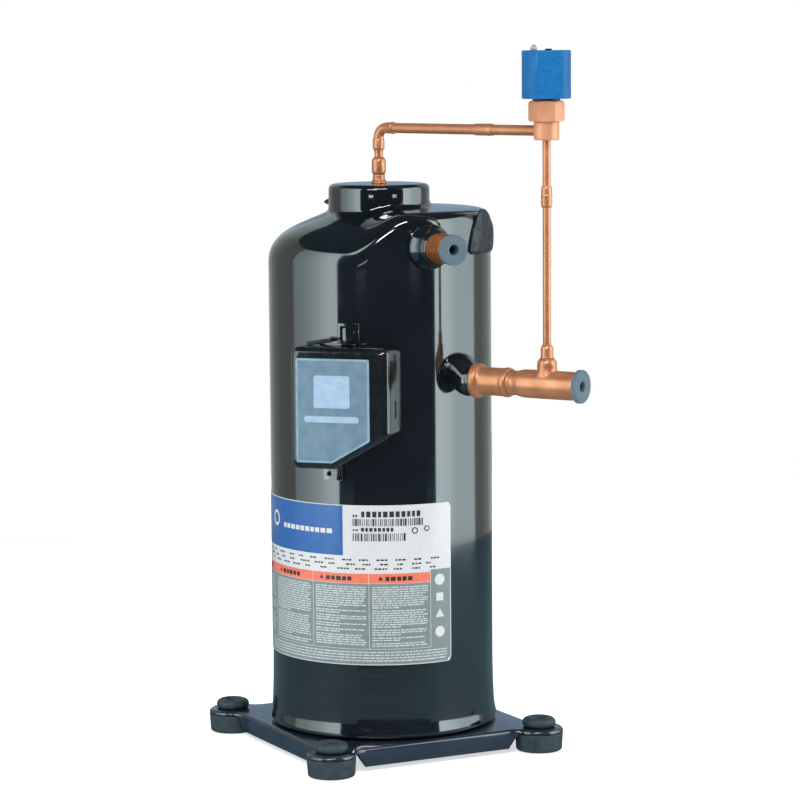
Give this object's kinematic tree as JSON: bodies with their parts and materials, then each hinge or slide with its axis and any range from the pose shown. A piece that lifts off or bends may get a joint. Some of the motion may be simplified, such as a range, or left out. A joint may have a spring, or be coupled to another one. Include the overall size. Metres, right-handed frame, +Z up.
{
  "type": "scroll compressor",
  "caption": "Tall black hermetic scroll compressor on a square base with rubber feet, terminal box, plugged pipe stubs and a copper bypass line with a solenoid valve.",
  "frame": {"origin": "middle of the bounding box on the floor under the rubber feet; the shell's axis stands 20.66 mm towards -X from it", "axes": "+Z up along the shell's axis, -Y towards the terminal box, +X towards the suction pipe"},
  "size_m": [0.3508, 0.3094, 0.5774],
  "materials": {
    "black_paint": "gloss",
    "base_paint": "satin",
    "grey_rubber": "matte",
    "copper": "satin",
    "dark_copper": "satin",
    "coil_plastic": "matte",
    "box_plastic": "gloss",
    "panel_silver": "satin",
    "label_paper": "satin",
    "steel": "satin",
    "cast_iron": "rough",
    "winding": "gloss",
    "bronze": "satin"
  },
  "bodies": {
    "compressor": {"base_plate": "base_paint", "grommet_front": "grey_rubber", "grommet_right": "grey_rubber", "grommet_rear": "grey_rubber", "grommet_left": "grey_rubber", "bottom_shell": "black_paint", "center_shell": "black_paint", "top_cap": "black_paint", "lifting_lug_right": "black_paint", "lifting_lug_left": "black_paint", "suction_stub": "black_paint", "suction_coupling": "copper", "suction_tee": "copper", "branch_reducer": "copper", "drop_tube_lower": "copper", "drop_coupling": "copper", "drop_tube_upper": "copper", "valve_body": "copper", "valve_bonnet": "copper", "valve_stem": "steel", "plunger_spring": "steel", "coil_gasket": "grey_rubber", "bypass_tube_inner": "copper", "bypass_tube_outer": "copper", "bypass_coupling": "copper", "bypass_elbow": "copper", "riser_neck": "copper", "riser_coupling": "copper", "port_fitting": "copper", "discharge_boss": "black_paint", "discharge_stub": "dark_copper", "terminal_box_base": "box_plastic", "box_clip": "black_paint", "box_tab": "steel", "hermetic_terminal": "steel", "nameplate": "label_paper", "stator_core": "steel", "winding_upper": "winding", "winding_lower": "winding", "main_bearing_housing": "cast_iron", "lower_bearing_bracket": "cast_iron", "partition_plate": "steel"},
    "crank": {"crankshaft": "steel", "rotor": "steel", "counterweight_upper": "bronze", "counterweight_lower": "bronze", "drive_bush": "bronze"},
    "orbiter": {"orbiting_scroll": "cast_iron"},
    "oldham": {"oldham_ring": "steel"},
    "fixed_set": {"fixed_scroll": "cast_iron", "floating_seal": "steel"},
    "discharge_valve": {"discharge_valve_disc": "steel"},
    "plunger": {"valve_plunger": "steel"},
    "coil": {"solenoid_coil": "coil_plastic", "coil_screw": "steel"},
    "box_cover": {"terminal_box_cover": "box_plastic", "cover_panel": "panel_silver"},
    "suction_plug_body": {"suction_plug": "grey_rubber"},
    "discharge_plug_body": {"discharge_plug": "grey_rubber"}
  },
  "joints": [
    {"name": "crank_spin", "type": "hinge", "parent": "compressor", "child": "crank", "pos_m": [-0.02066, 0, 0.2], "axis": [0, 0, 1], "continuous": true},
    {"name": "orbit", "type": "hinge", "parent": "crank", "child": "orbiter", "pos_m": [-0.01641, 0, 0.316], "axis": [0, 0, 1], "continuous": true},
    {"name": "oldham_slide", "type": "slide", "parent": "compressor", "child": "oldham", "axis": [1, 0, 0], "range_m": [-0.0085, 0]},
    {"name": "scroll_lift", "type": "slide", "parent": "compressor", "child": "fixed_set", "axis": [0, 0, 1], "range_m": [0, 0.001]},
    {"name": "discharge_valve_lift", "type": "slide", "parent": "fixed_set", "child": "discharge_valve", "axis": [0, 0, 1], "range_m": [0, 0.0025]},
    {"name": "plunger_lift", "type": "slide", "parent": "compressor", "child": "plunger", "axis": [0, 0, 1], "range_m": [0, 0.002], "stiffness_N_per_m": 400, "springref_m": -0.005, "deforming": ["plunger_spring"]},
    {"name": "coil_turn", "type": "hinge", "parent": "compressor", "child": "coil", "pos_m": [0.14083, -0.0712, 0.554], "axis": [0, 0, 1], "range_deg": [-180, 180]},
    {"name": "cover_pull", "type": "slide", "parent": "compressor", "child": "box_cover", "axis": [0, -1, 0], "range_m": [0, 0.05]},
    {"name": "suction_plug_pull", "type": "slide", "parent": "compressor", "child": "suction_plug_body", "axis": [0.9682, -0.2501, 0], "range_m": [0, 0.03]},
    {"name": "discharge_plug_pull", "type": "slide", "parent": "compressor", "child": "discharge_plug_body", "axis": [0.682, -0.7314, 0], "range_m": [0, 0.03]}
  ],
  "couplings": [
    {"joint": "orbit", "follows": "crank_spin", "ratio": -1}
  ]
}
